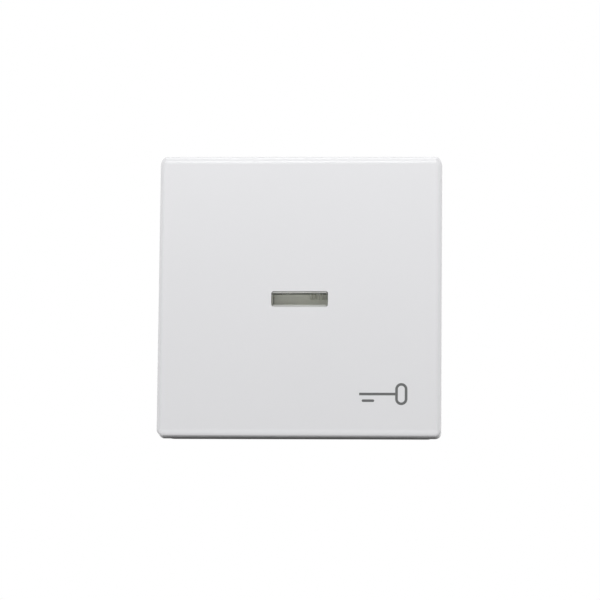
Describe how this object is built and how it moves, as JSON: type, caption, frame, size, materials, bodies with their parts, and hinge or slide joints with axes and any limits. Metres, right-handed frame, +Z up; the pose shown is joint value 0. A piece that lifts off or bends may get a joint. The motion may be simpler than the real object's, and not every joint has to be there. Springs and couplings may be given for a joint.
{
  "type": "illuminated push rocker switch",
  "caption": "Flush-box push rocker: square gloss plate with a lit window and a key sign, on an insert with changeover contact, glow lamp, clamps and claws.",
  "frame": {"origin": "centre of the support ring's back face, which lies in the wall plane", "axes": "+X to the right, +Z up, the rocker plate faces -Y and the insert goes into the wall along +Y"},
  "size_m": [0.068, 0.0333, 0.068],
  "materials": {
    "rocker_gloss": "smooth high gloss, white",
    "lens_clear": "clear moulded plastic, polished",
    "sign_ink": "dark grey print filling",
    "yoke_plastic": "fine satin, off-white",
    "galvanised_ring": "galvanised sheet, dull spangle",
    "frame_plastic": "satin light grey",
    "rivet_steel": "zinc plated",
    "housing_plastic": "satin thermoset, light grey",
    "rear_plastic": "satin thermoset, grey",
    "screw_steel": "zinc plated",
    "tray_plastic": "white reflecting satin",
    "lamp_glass": "clear drawn glass",
    "lamp_bead": "fused glass bead",
    "electrode_nickel": "bright nickel",
    "lead_tin": "tinned wire",
    "resistor_body": "beige lacquer",
    "bar_brass": "stamped sheet",
    "contact_silver": "silver alloy",
    "lever_bronze": "spring bronze strip",
    "slider_plastic": "natural acetal",
    "clamp_steel": "stainless leaf",
    "spring_steel": "drawn spring wire",
    "button_plastic": "satin mid grey",
    "claw_steel": "zinc-plated sheet",
    "nut_steel": "zinc plated"
  },
  "bodies": {
    "insert": {"support_ring": "galvanised_ring", "bearing_frame": "frame_plastic", "frame_rivets": "rivet_steel", "base_housing": "housing_plastic", "rear_cover": "rear_plastic", "housing_screws": "screw_steel", "lamp_holder": "tray_plastic", "glow_lamp": "lamp_glass", "lamp_base": "lamp_bead", "lamp_electrodes": "electrode_nickel", "lamp_leads": "lead_tin", "lamp_resistor": "resistor_body", "busbar_line": "bar_brass", "busbar_neutral": "bar_brass", "busbar_open": "bar_brass", "busbar_closed": "bar_brass", "fixed_contacts": "contact_silver", "clamp_springs": "clamp_steel", "return_spring": "spring_steel", "contact_spring": "spring_steel"},
    "rocker": {"rocker_cover": "rocker_gloss", "lens": "lens_clear", "key_symbol": "sign_ink", "rocker_yoke": "yoke_plastic"},
    "slider": {"push_slider": "slider_plastic"},
    "lever": {"contact_lever": "lever_bronze", "moving_contacts": "contact_silver"},
    "release_top": {"release_button_top": "button_plastic"},
    "release_bottom": {"release_button_bottom": "button_plastic"},
    "screw_right": {"claw_screw_right": "screw_steel"},
    "nut_right": {"claw_nut_right": "nut_steel"},
    "spreader_right": {"claw_right": "claw_steel"},
    "screw_left": {"claw_screw_left": "screw_steel"},
    "nut_left": {"claw_nut_left": "nut_steel"},
    "spreader_left": {"claw_left": "claw_steel"}
  },
  "joints": [
    {"name": "rocker_press", "type": "hinge", "parent": "insert", "child": "rocker", "pos_m": [0, -0.0049, 0], "axis": [1, 0, 0], "range_deg": [0, 4.5], "stiffness_Nm_per_rad": 0.9, "springref_deg": -0.34},
    {"name": "slider_push", "type": "slide", "parent": "insert", "child": "slider", "axis": [0, 1, 0], "range_m": [0, 0.00126], "deforming": ["return_spring"]},
    {"name": "lever_tip", "type": "hinge", "parent": "insert", "child": "lever", "pos_m": [0.009, 0.00245, -0.0035], "axis": [1, 0, 0], "range_deg": [0, 6], "deforming": ["contact_spring"]},
    {"name": "release_top_push", "type": "slide", "parent": "insert", "child": "release_top", "axis": [0, -1, 0], "range_m": [0, 0.0015], "stiffness_N_per_m": 800},
    {"name": "release_bottom_push", "type": "slide", "parent": "insert", "child": "release_bottom", "axis": [0, -1, 0], "range_m": [0, 0.0015], "stiffness_N_per_m": 800},
    {"name": "claw_right_spread", "type": "slide", "parent": "insert", "child": "spreader_right", "axis": [0.53, -0.848, 0], "range_m": [0, 0.00472]},
    {"name": "claw_nut_right_travel", "type": "slide", "parent": "insert", "child": "nut_right", "axis": [0, -1, 0], "range_m": [0, 0.004]},
    {"name": "claw_screw_right_turn", "type": "hinge", "parent": "insert", "child": "screw_right", "pos_m": [0.0236, 0, 0], "axis": [0, 1, 0], "range_deg": [0, 2881]},
    {"name": "claw_left_spread", "type": "slide", "parent": "insert", "child": "spreader_left", "axis": [-0.53, -0.848, 0], "range_m": [0, 0.00472]},
    {"name": "claw_nut_left_travel", "type": "slide", "parent": "insert", "child": "nut_left", "axis": [0, -1, 0], "range_m": [0, 0.004]},
    {"name": "claw_screw_left_turn", "type": "hinge", "parent": "insert", "child": "screw_left", "pos_m": [-0.0236, 0, 0], "axis": [0, 1, 0], "range_deg": [0, 2881]}
  ],
  "couplings": [
    {"joint": "slider_push", "follows": "rocker_press", "m_per_rad": 0.016},
    {"joint": "lever_tip", "follows": "rocker_press", "ratio": 1.3333},
    {"joint": "claw_nut_right_travel", "follows": "claw_right_spread", "ratio": 0.848},
    {"joint": "claw_screw_right_turn", "follows": "claw_right_spread", "rad_per_m": 10656},
    {"joint": "claw_nut_left_travel", "follows": "claw_left_spread", "ratio": 0.848},
    {"joint": "claw_screw_left_turn", "follows": "claw_left_spread", "rad_per_m": 10656}
  ]
}
